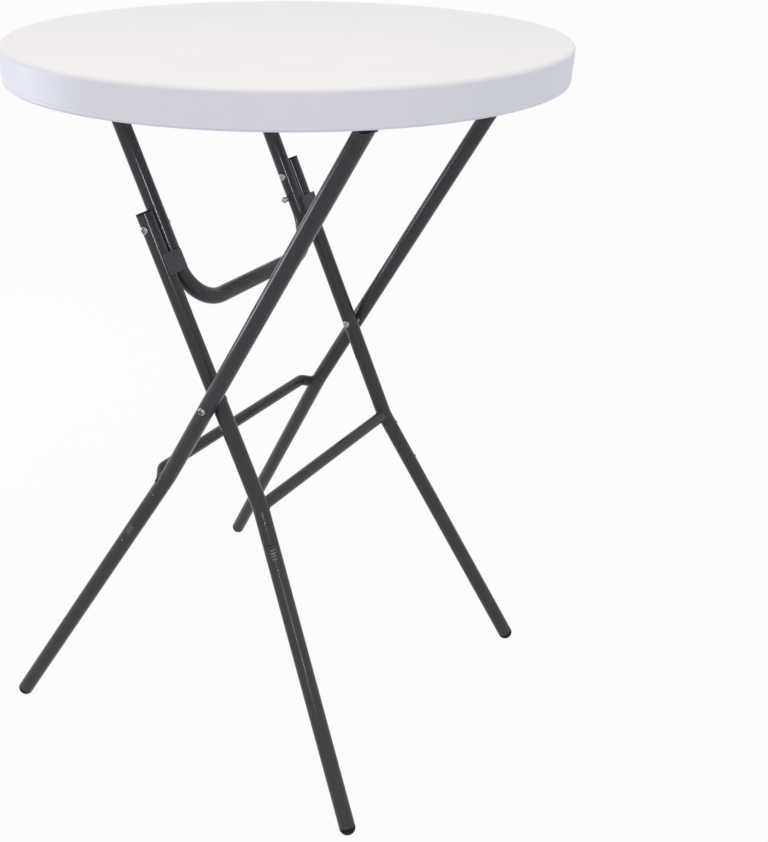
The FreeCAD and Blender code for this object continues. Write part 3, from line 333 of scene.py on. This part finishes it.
def leg_parts(tag, *parts):
    """Names of a frame's parts that come in pairs."""
    return ["%s_%s_%s" % (tag, part, side) for part in parts for side in ("left", "right")]


dress(coat, *leg_parts("outer", "upper_leg"), "outer_crossbar", "outer_hinge_tube")
dress(zinc, *leg_parts("outer", "leg_sleeve"))


# Welds of the outer frame: fillet beads laid by hand where the leg tops meet the hinge tube and where the
# crossbar's ends meet the legs, coated with the frame.
class Tilted:
    """Axes of a leg frame at the crossing bolt: Z up along its legs, Y across the table, X square to both."""

    def __init__(self, hinge):
        up = (hinge - CROSSING) / np.linalg.norm(hinge - CROSSING)
        self.rows = np.stack([np.cross((0, 1, 0), up), (0, 1, 0), up])

    def point(self, *local):
        """The place of a point given in these axes."""
        return CROSSING + np.asarray(local, float) @ self.rows

    def way(self, *local):
        """The direction of a vector given in these axes."""
        return np.asarray(local, float) @ self.rows


OUTER = Tilted(LEG_HINGE)
LEG_RADIUS = 0.0125
BAR_RADIUS = 0.0095
BEAD = 0.0019
RIPPLE, SWELL = 0.0026, 0.07    # the length of a ripple, and the share by which the bead swells in it
TAPER = 1.5                     # the length of a bead's pointed end, in radii


def meeting(start, along, radius, inward, point, axis, other, first, last, steps=160):
    """Line where a tube's wall runs into another's: from the circle round start at each angle from inward,
    the way along the tube to the other cylinder is the smaller root of a quadratic."""
    along = along / np.linalg.norm(along)
    axis = axis / np.linalg.norm(axis)
    inward = inward - (inward @ along) * along
    inward /= np.linalg.norm(inward)
    turn = np.radians(np.linspace(first, last, steps))[:, None]
    wall = start + radius * (np.cos(turn) * inward + np.sin(turn) * np.cross(along, inward))
    gap = (wall - point) - ((wall - point) @ axis)[:, None] * axis
    slope = along - (along @ axis) * axis
    a, b, c = slope @ slope, gap @ slope, (gap * gap).sum(1) - other ** 2
    reach = (-b - np.sqrt(np.maximum(b * b - a * c, 0))) / a
    return wall + reach[:, None] * along


def bead(line, lift, radius=BEAD, sides=14):
    """A weld bead: a circle carried along the line, its radius rising and falling once each ripple, and
    falling to nothing at both ends by the root of the distance."""
    ahead = np.gradient(line, axis=0)
    step = np.linalg.norm(ahead, axis=1, keepdims=True)
    ahead /= step
    side = np.cross(ahead, lift)
    side /= np.linalg.norm(side, axis=1, keepdims=True)
    up = np.cross(side, ahead)
    run = np.cumsum(step[:, 0]) - step[0, 0]
    taper = np.sqrt(np.clip(np.minimum(run, run[-1] - run) / (radius * TAPER), 0, 1))
    size = radius * taper * (1 + SWELL * np.cos(2 * np.pi * run / RIPPLE))
    turn = np.linspace(0, 2 * np.pi, sides, endpoint=False)
    ring = np.cos(turn)[None, :, None] * side[:, None] + np.sin(turn)[None, :, None] * up[:, None]
    return line[:, None] + size[:, None, None] * ring


ROUND = (180, 545)          # a whole turn that starts and ends low on the far side
INNER_SIDE = (-128, 128)
OUTER_WIDTH = 0.221
OUTER_BEND = -0.154
OUTER_SPLAY = np.radians(11.0)
UNDER_HINGE = 0.4           # height from which a tube's wall is followed up to its hinge tube
CRANK_X, CRANK_Y, CRANK_Z = -0.022, 0.201, -0.172
CRANK_RUN, CRANK_OUT = 0.018, 0.0235
beads = []
for side in (-1, 1):
    line = meeting(OUTER.point(0, OUTER_WIDTH * side, UNDER_HINGE), OUTER.way(0, 0, 1), LEG_RADIUS,
                   OUTER.way(0, -side, 0), LEG_HINGE, OUTER.way(0, 1, 0), LEG_RADIUS, *INNER_SIDE)
    beads.append(bead(line, OUTER.way(0, 0, 1)))
    crank = OUTER.way(CRANK_RUN, CRANK_OUT * side, 0)
    line = meeting(OUTER.point(CRANK_X, CRANK_Y * side, CRANK_Z), crank, BAR_RADIUS, OUTER.way(0, 0, 1),
                   OUTER.point(0, OUTER_WIDTH * side, OUTER_BEND),
                   OUTER.way(0, np.sin(OUTER_SPLAY) * side, -np.cos(OUTER_SPLAY)), LEG_RADIUS, *ROUND)
    beads.append(bead(line, crank))
put("outer_frame_weld_beads", beads, coat, "outer_frame", crease=80.0)


# Lower legs of the outer frame: the same tube, dented under the joint by four blows of a round punch, which
# grip the sleeve inside. Each dent is painted a paler grey, a painted highlight for the glints its edges
# catch.
LEG_BORE = 0.011
JOINT_CHAMFER = 0.001
PUNCH, DENT_DEPTH = 0.0012, 0.001
DENT_START, DENT_PITCH, DENTS = 0.008, 0.0046, 4


def leg_line(axes, side, width, bend_up, bend, turn, aim_turn):
    """Start of a splayed leg at its bend, the way along it, and the way out of it to its dents and rivets."""
    ahead = np.array((np.sin(turn), side * np.cos(turn), 0))
    down = np.array((0, 0, -1.0))
    along = down * np.cos(bend) + ahead * np.sin(bend)
    outward = ahead * np.cos(bend) - down * np.sin(bend)
    aim = outward * np.cos(aim_turn) + np.cross(along, outward) * side * np.sin(aim_turn)
    return axes.point(0, width * side, bend_up), axes.way(*along), axes.way(*aim)


def dented_leg(name, line, joint, end, body, node):
    """A tube with dents: the radius is the tube's or, if less, the punch's depth line over the cosine of the
    angle from the dented side. That line is a half circle along the tube at each dent, and lies outside it
    elsewhere."""
    spot, along, aim = line
    drops = joint + DENT_START + DENT_PITCH * np.arange(DENTS)
    fine = (drops[:, None] + PUNCH * np.sin(np.linspace(-np.pi / 2, np.pi / 2, 17))).ravel()
    run = np.concatenate([[joint, joint, joint + JOINT_CHAMFER], fine, [end, end, joint]])
    wall = np.full(len(run), LEG_RADIUS)
    wall[[0, -2, -1]] = LEG_BORE
    wall[1] -= JOINT_CHAMFER
    off = np.abs(run[:, None] - drops).min(axis=1)
    depth_line = LEG_RADIUS - DENT_DEPTH + PUNCH - np.sqrt(np.maximum(PUNCH ** 2 - off ** 2, 0))
    angle = np.linspace(0, 2 * np.pi, 120, endpoint=False)
    radius = np.minimum(wall[:, None], depth_line[:, None] / np.maximum(np.cos(angle), 0.01))
    ring = np.cos(angle)[:, None] * aim + np.sin(angle)[:, None] * np.cross(along, aim)
    tube = spot + run[:, None, None] * along + radius[..., None] * ring
    piece = put(name, [tube], coat, body, [node])
    points = np.empty(3 * len(piece.data.vertices))
    piece.data.vertices.foreach_get("co", points)
    points = points.reshape(-1, 3) - spot
    drop = points @ along
    dent = LEG_RADIUS - np.linalg.norm(points - drop[:, None] * along, axis=1)
    in_dent = (dent < DENT_DEPTH * 1.1) & (drop > joint + DENT_START / 2)
    # Mask of the painted dent highlight: full where a dent is half its depth or deeper.
    dent_highlight = piece.data.attributes.new("dent", "FLOAT", "POINT")
    dent_highlight.data.foreach_set("value", np.clip(2 * dent / DENT_DEPTH, 0, 1) * in_dent)


OUTER_JOINT, OUTER_END = 0.105, 0.5366      # from the bend along the leg
OUTER_LINES = {name: leg_line(OUTER, side, OUTER_WIDTH, OUTER_BEND, OUTER_SPLAY, 0.0, 0.0)
               for side, name in ((-1, "left"), (1, "right"))}
for name, line in OUTER_LINES.items():
    dented_leg("outer_dented_leg_" + name, line, OUTER_JOINT, OUTER_END, "outer_frame",
               "outer_lower_leg_" + name)


# Leg joint rivets: blind rivets through each leg tube and the sleeve inside it, above and below the dented
# joint. Their domed heads are coated with the frame, and the broken mandrel shows bright in each.
RIVET = np.array([(0, -2.4), (2.0, -2.4), (2.0, -0.5), (3.0, -0.5), (3.0, 0.2), (2.87, 0.5), (2.55, 0.76),
                  (2.1, 0.92), (1.6, 1.0), (1.35, 0.96), (1.22, 0.8), (1.18, 0.4), (0, 0.4)]) / 1000
MANDREL = np.array([(0, 0.3), (1.0, 0.3), (1.0, 0.86), (0.8, 1.0), (0, 1.04)]) / 1000
OUTER_RIVETS = 0.039, 0.144                 # from the bend along the leg


def joint_rivets(tag, lines, drops):
    """Rivets and mandrels of a pair of legs, turned round the way out of each leg at these drops along it."""
    spots = [(spot + drop * along + LEG_RADIUS * aim, aim) for spot, along, aim in lines for drop in drops]
    put(tag + "_blind_rivets", [turned(RIVET, *spot, 40) for spot in spots], coat, tag + "_frame",
        [tag + "_upper_rivets", tag + "_lower_rivets"])
    put(tag + "_rivet_mandrels", [turned(MANDREL, *spot, 24) for spot in spots], zinc, tag + "_frame")


joint_rivets("outer", OUTER_LINES.values(), OUTER_RIVETS)


# Feet and end plugs: black polyethylene mouldings pressed into the tube ends, domed where they stand on the
# floor. The mould gives them a soft, even grain.
PLUG_BLACK = "#0B0B0C"
PLUG_RUB = "#121213"
RUB_MARK = 0.011
plug_plastic, tree, shader, place = start_finish("moulded_black_polyethylene", Roughness=0.5, IOR=1.5,
                                                 Specular_IOR_Level=0.15)
grain = add(tree, "ShaderNodeTexNoise", {"Vector": place.outputs["Object"], "Scale": 1 / MOULD_GRAIN,
                                         "Detail": 2.0})
rub = add(tree, "ShaderNodeTexNoise", {"Vector": place.outputs["Object"], "Scale": 1 / RUB_MARK,
                                       "Detail": 3.0})
tone = add(tree, "ShaderNodeMix", {0: rub.outputs["Fac"], 6: linear(PLUG_BLACK), 7: linear(PLUG_RUB)},
           data_type="RGBA")
skin = add(tree, "ShaderNodeBump", {"Height": grain.outputs["Fac"], "Strength": 0.2, "Distance": 0.0004})
tree.links.new(tone.outputs[2], shader.inputs["Base Color"])
tree.links.new(skin.outputs["Normal"], shader.inputs["Normal"])
dress(plug_plastic, *leg_parts("outer", "foot"), *leg_parts("inner", "foot", "leg_plug"), "outer_hinge_plugs",
      "brace_hinge_plugs")


# Inner leg frame: the same coated tube, with a straight crossbar welded in at the bends and open tops that
# carry plugs. Its legs splay and toe in a little, and are dented and riveted like the outer ones.
INNER = Tilted(BRACE_HINGE)
INNER_WIDTH = 0.192
INNER_BEND = -0.173
INNER_SPLAY, INNER_TOE = np.radians(11.6), np.radians(1.9)
INNER_BEND_ANGLE = np.arctan(np.hypot(np.tan(INNER_SPLAY), np.tan(INNER_TOE)))
INNER_TURN = np.arctan(np.tan(INNER_TOE) / np.tan(INNER_SPLAY))
INNER_AIM = np.radians(33.0)                # turn of the dents and rivets from the splay
INNER_BAR = 0.15                            # width from which the crossbar's wall is followed out to a leg
BEND_SHIFT = 0.0004                         # how far the bend carries the leg out at the crossbar
INNER_JOINT, INNER_END = 0.058, 0.4996      # from the bend along the leg, as the rivets are
INNER_RIVETS = 0.024, 0.097
dress(coat, *leg_parts("inner", "upper_leg"), "inner_crossbar")
dress(zinc, *leg_parts("inner", "leg_sleeve"))
beads = []
half = INNER_BEND_ANGLE / 2
for side in (-1, 1):
    wall = INNER.way(np.sin(half) * np.sin(INNER_TURN), np.sin(half) * np.cos(INNER_TURN) * side,
                     -np.cos(half))
    line = meeting(INNER.point(0, INNER_BAR * side, INNER_BEND), INNER.way(0, side, 0), BAR_RADIUS,
                   INNER.way(0, 0, 1), INNER.point(0, (INNER_WIDTH + BEND_SHIFT) * side, INNER_BEND), wall,
                   LEG_RADIUS, *ROUND)
    beads.append(bead(line, INNER.way(0, side, 0)))
put("inner_frame_weld_beads", beads, coat, "inner_frame", crease=80.0)
INNER_LINES = {name: leg_line(INNER, side, INNER_WIDTH, INNER_BEND, INNER_BEND_ANGLE, INNER_TURN, INNER_AIM)
               for side, name in ((-1, "left"), (1, "right"))}
for name, line in INNER_LINES.items():
    dented_leg("inner_dented_leg_" + name, line, INNER_JOINT, INNER_END, "inner_frame",
               "inner_lower_leg_" + name)
joint_rivets("inner", INNER_LINES.values(), INNER_RIVETS)


# Crossing bolts: zinc-plated pan-head bolts with a cross recess, each through an outer leg, a turned spacer
# and an inner leg, and into a barrel nut whose low round head has a cross recess of its own.
BOLT_HEAD, BOLT_SHANK = 0.006, 0.004
PAN_HEAD = {"head": BOLT_HEAD, "height": 0.0038, "rounding": 0.003, "recess": 0.0026}
LOW_HEAD = {"head": BOLT_HEAD, "height": 0.0026, "rounding": 0.002}
NUT_GAP, NUT_SLACK = 0.0003, 0.0001
HEAD_SEAT = OUTER_WIDTH + LEG_RADIUS
NUT_SEAT = INNER_WIDTH - LEG_RADIUS - NUT_GAP
NUT_BORE = BOLT_SHANK + NUT_SLACK
NUT_DEPTH, NUT_RECESS = 0.0014, 0.001
IN_NUT = NUT_DEPTH - NUT_SLACK
BARREL = [(0, NUT_DEPTH), (NUT_BORE, NUT_DEPTH), (NUT_BORE, 0)]
CROSSING_SHANK = shank_of(BOLT_SHANK, HEAD_SEAT - NUT_SEAT + IN_NUT)
put("crossing_bolts", [headed(OUTER.point(0, HEAD_SEAT * side, 0), (0, side, 0), below=CROSSING_SHANK,
                              **PAN_HEAD) for side in (-1, 1)],
    zinc, "outer_frame", ["pivot_bolts"])
put("crossing_nuts", [headed(OUTER.point(0, NUT_SEAT * side, 0), (0, -side, 0), below=BARREL,
                             recess=NUT_RECESS, **LOW_HEAD) for side in (-1, 1)],
    zinc, "outer_frame", ["pivot_nuts"])
dress(zinc, "pivot_spacers")


# Folding brace: one coated tube bent to a U between the inner legs, coped and welded to its own hinge tube.
# When the table stands its arms lie in line with the inner legs, and the right one carries the lock's bush.
BRACE_WIDTH = 0.1664
BUSH_UP, BUSH_RADIUS, BUSH_BEAD = 0.2335, 0.0045, 0.0012
BUSH_START = 0.14           # width from which the bush's wall is followed out to the arm
dress(coat, "brace_tube", "brace_hinge_tube")
beads = []
for side in (-1, 1):
    line = meeting(INNER.point(0, BRACE_WIDTH * side, UNDER_HINGE), INNER.way(0, 0, 1), LEG_RADIUS,
                   INNER.way(0, -side, 0), BRACE_HINGE, INNER.way(0, 1, 0), LEG_RADIUS, *INNER_SIDE)
    beads.append(bead(line, INNER.way(0, 0, 1)))
line = meeting(INNER.point(0, BUSH_START, BUSH_UP), INNER.way(0, 1, 0), BUSH_RADIUS, INNER.way(0, 0, 1),
               INNER.point(0, BRACE_WIDTH, 0), INNER.way(0, 0, 1), LEG_RADIUS, *ROUND)
beads.append(bead(line, INNER.way(0, 1, 0), BUSH_BEAD))


# Stop plates: steel plates with rounded edges, each welded by its inner edge to a brace arm. They lie over
# the inner legs and stop the fold where the frame stands. Their matt grey coat is rough and a little dusty.
PLATE_GREY = "#3C3C3E"
PLATE_DUST = "#474749"
DUST_SPOT = 0.0045
plate_coat, tree, shader, place = start_finish("matt_grey_coat", Roughness=0.62, IOR=1.5)
dust = add(tree, "ShaderNodeTexNoise", {"Vector": place.outputs["Object"], "Scale": 1 / DUST_SPOT,
                                        "Detail": 4.0})
tone = add(tree, "ShaderNodeMix", {0: dust.outputs["Fac"], 6: linear(PLATE_GREY), 7: linear(PLATE_DUST)},
           data_type="RGBA")
skin = add(tree, "ShaderNodeBump", {"Height": dust.outputs["Fac"], "Strength": 0.2, "Distance": 0.0004})
tree.links.new(tone.outputs[2], shader.inputs["Base Color"])
tree.links.new(skin.outputs["Normal"], shader.inputs["Normal"])
PLATE_BACK, PLATE_FRONT = 0.01285, 0.0155
PLATE_IN, PLATE_OUT = 0.1639, 0.2029
PLATE_LOW, PLATE_TOP = 0.1975, 0.2295
SEAM_OUT, SEAM_ASIDE, SEAM_END, SEAM_BEAD = 0.0131, 0.0004, 0.002, 0.0016


def rounded_plate(axes, side, corner=0.0012, edge=0.0006, per_corner=10):
    """A plate with rounded corners and edges: four corner arcs make the outline, which shrinks along its own
    normals by a quarter circle at the back and front edges and to its middle on both faces."""
    turn = np.linspace(0, np.pi / 2, per_corner)[None] + np.arange(4)[:, None] * np.pi / 2
    half = np.array(((PLATE_OUT - PLATE_IN) / 2, (PLATE_TOP - PLATE_LOW) / 2))
    core = np.repeat(np.array(((1, 1), (-1, 1), (-1, -1), (1, -1))) * (half - corner), per_corner, axis=0)
    normal = np.stack([np.cos(turn).ravel(), np.sin(turn).ravel()], -1)
    curve = np.linspace(0, np.pi / 2, 5)
    shrink = np.concatenate([[edge], edge * (1 - np.sin(curve)), edge * (1 - np.cos(curve)), [edge]])
    thick = PLATE_FRONT - PLATE_BACK
    depth = np.concatenate([[0], edge * (1 - np.cos(curve)), thick - edge * (1 - np.sin(curve)), [thick]])
    keep = np.ones(len(depth))
    keep[[0, -1]] = 0
    flat = keep[:, None, None] * (core[None] + (corner - shrink)[:, None, None] * normal[None])
    across = ((PLATE_IN + PLATE_OUT) / 2 + flat[..., 0]) * side
    up = (PLATE_LOW + PLATE_TOP) / 2 + flat[..., 1]
    out = np.broadcast_to((PLATE_BACK + depth)[:, None], up.shape)
    return CROSSING + np.stack([out, across, up], -1) @ axes.rows


run = np.linspace(PLATE_LOW + SEAM_END, PLATE_TOP - SEAM_END, 90)
for side, name in ((-1, "left"), (1, "right")):
    put("brace_stop_plate_" + name, [rounded_plate(INNER, side)], plate_coat, "brace",
        ["stop_plate_" + name])
    seam = np.stack([np.full_like(run, SEAM_OUT), np.full_like(run, (PLATE_IN - SEAM_ASIDE) * side), run], -1)
    beads.append(bead(CROSSING + seam @ INNER.rows, INNER.way(1, 0, 0), SEAM_BEAD))
put("brace_weld_beads", beads, coat, "brace", crease=80.0)


# Brace bolts: low-headed zinc-plated bolts with a cross recess where the brace arms turn on the inner legs,
# with barrel nuts on the inside of the arms.
LEG_OUT = INNER_WIDTH + LEG_RADIUS
ARM_IN = BRACE_WIDTH - LEG_RADIUS
BOLT_UP, BOLT_RECESS = 0.2695, 0.0018
HALF_SHANK = shank_of(BOLT_SHANK, 0.0248)   # the leg's half of the bolt, which ends between leg and arm
put("brace_leg_bolts", [headed(INNER.point(0, LEG_OUT * side, BOLT_UP), (0, side, 0), below=HALF_SHANK,
                               recess=BOLT_RECESS, **LOW_HEAD) for side in (-1, 1)],
    zinc, "inner_frame", ["brace_bolts"])
put("brace_arm_nuts", [headed(INNER.point(0, ARM_IN * side, BOLT_UP), (0, -side, 0), below=BARREL,
                              recess=NUT_RECESS, **LOW_HEAD) for side in (-1, 1)],
    zinc, "brace", ["brace_nuts"])
dress(zinc, "brace_bolt_ends")


# Lock: a turned, zinc-plated steel pin with a pull knob, in a bush that is welded to the right brace arm and
# coated with it. Pushed in, the pin enters the inner leg and holds the frame open.
dress(coat, "lock_bush")
dress(zinc, "lock_pin", "lock_knob")


# Floor: a wide, plain pale sheet. The camera sees it nearly white, by a glow that lights nothing, and a faint
# shadow of the table stays in the rest of its colour.
FLOOR_PALE = "#D3D8E8"
FLOOR_GLOW = 0.94
FLOOR, FLOOR_Z, FLOOR_SIDES = 30.0, -0.0005, 96
SEEN_TOO = ("Is Glossy Ray", "Is Transmission Ray")     # metal and clear things show what the camera sees
floor, tree, shader, _ = start_finish("pale_studio_floor", Base_Color=linear(FLOOR_PALE), Roughness=0.9)
rays = add(tree, "ShaderNodeLightPath")
seen = rays.outputs["Is Camera Ray"]
for kind in SEEN_TOO:
    seen = add(tree, "ShaderNodeMath", {0: seen, 1: rays.outputs[kind]}, operation="MAXIMUM").outputs["Value"]
share = add(tree, "ShaderNodeMath", {0: seen, 1: FLOOR_GLOW}, operation="MULTIPLY")
glow = add(tree, "ShaderNodeEmission", {"Color": (1, 1, 1, 1), "Strength": 1.0})
mixed = add(tree, "ShaderNodeMixShader", {0: share.outputs["Value"], 1: shader.outputs["BSDF"],
                                          2: glow.outputs["Emission"]})
tree.links.new(mixed.outputs["Shader"], tree.nodes["Material Output"].inputs["Surface"])
angle = np.linspace(0, 2 * np.pi, FLOOR_SIDES, endpoint=False)
rim = np.stack([FLOOR * np.cos(angle), FLOOR * np.sin(angle), np.full(FLOOR_SIDES, FLOOR_Z)], -1)
mesh = bpy.data.meshes.new("studio_floor")
mesh.from_pydata(rim.tolist(), [], [list(range(FLOOR_SIDES))])
mesh.materials.append(floor)
ground = bpy.data.objects.new("studio_floor", mesh)
bpy.context.scene.collection.objects.link(ground)


# Studio light: a white room for the eye and for reflections, a softer cool light from all round, a warm lamp
# above the front and a tall cool one that lights the rim from the left. Two more lamps show only as
# reflections and draw the lines of light along the tubes.
world = bpy.data.worlds.new("white_studio")
bpy.context.scene.world = world
world.use_nodes = True
tree = world.node_tree
rays = add(tree, "ShaderNodeLightPath")
seen = rays.outputs["Is Camera Ray"]
for kind in SEEN_TOO:
    seen = add(tree, "ShaderNodeMath", {0: seen, 1: rays.outputs[kind]}, operation="MAXIMUM").outputs["Value"]
around = add(tree, "ShaderNodeBackground", {"Color": linear("#F4F7FF"), "Strength": 0.8})
room = add(tree, "ShaderNodeBackground", {"Color": (1, 1, 1, 1), "Strength": 1.0})
mixed = add(tree, "ShaderNodeMixShader", {0: seen, 1: around.outputs["Background"],
                                          2: room.outputs["Background"]})
tree.links.new(mixed.outputs["Shader"], tree.nodes["World Output"].inputs["Surface"])

for name, spot, goal, roll, width, height, power, colour, diffuse, glossy in (
        ("key_lamp", (0.35, -0.85, 2.9), (0, 0, 1.1), 0.0, 1.2, 1.2, 12.0, "#FFE9D5", True, True),
        ("side_lamp", (-2.4, 0.3, 0.75), (0, 0, 0.75), 0.0, 0.1, 1.3, 22.0, "#EAF0FF", True, False),
        ("edge_lamp", (-2.41, -0.87, 0.68), (0.1, -0.2, 0.75), 0.0, 1.2, 0.65, 17.0, "#EAF0FF", False, True),
        ("line_lamp", (1.64, -2.24, 1.78), (-0.1, -0.19, 0.8), -40.0, 0.16, 0.95, 24.0, "#F2F5FF", False,
         True)):
    light = bpy.data.lights.new(name, "AREA")
    light.shape = "RECTANGLE"
    light.size, light.size_y = width, height
    light.energy = power
    light.color = linear(colour)[:3]
    lamp = bpy.data.objects.new(name, light)
    lamp.location = spot
    aim = (lamp.location - Vector(goal)).to_track_quat("Z", "Y")
    lamp.rotation_euler = (aim @ Quaternion((0, 0, 1), np.radians(roll))).to_euler()
    lamp.visible_camera = False
    lamp.visible_diffuse, lamp.visible_glossy = diffuse, glossy
    bpy.context.scene.collection.objects.link(lamp)

# The last lamp, line_lamp, is flagged off the top, which would glare from behind.
flag = bpy.data.collections.new("flagged_off_line_lamp")
flag.objects.link(top)
lamp.light_linking.receiver_collection = flag
flag.collection_objects[0].light_linking.link_state = "EXCLUDE"

bpy.context.scene.view_settings.view_transform = "Standard"


# Camera: the photograph's place, turn and lens, fitted to the rim, the edges of the legs, the pivots and the
# feet. Depth of field stays off.
camera = bpy.data.cameras.new("photo_camera")
camera.sensor_width = 36.0
camera.lens = 50.01
camera.shift_x = 0.133
view = bpy.data.objects.new("photo_camera", camera)
view.location = (0.94056, -1.44601, 1.34390)
view.rotation_euler = Euler(np.radians((63.683, 0.0, 33.698)).tolist())
bpy.context.scene.collection.objects.link(view)
bpy.context.scene.camera = view
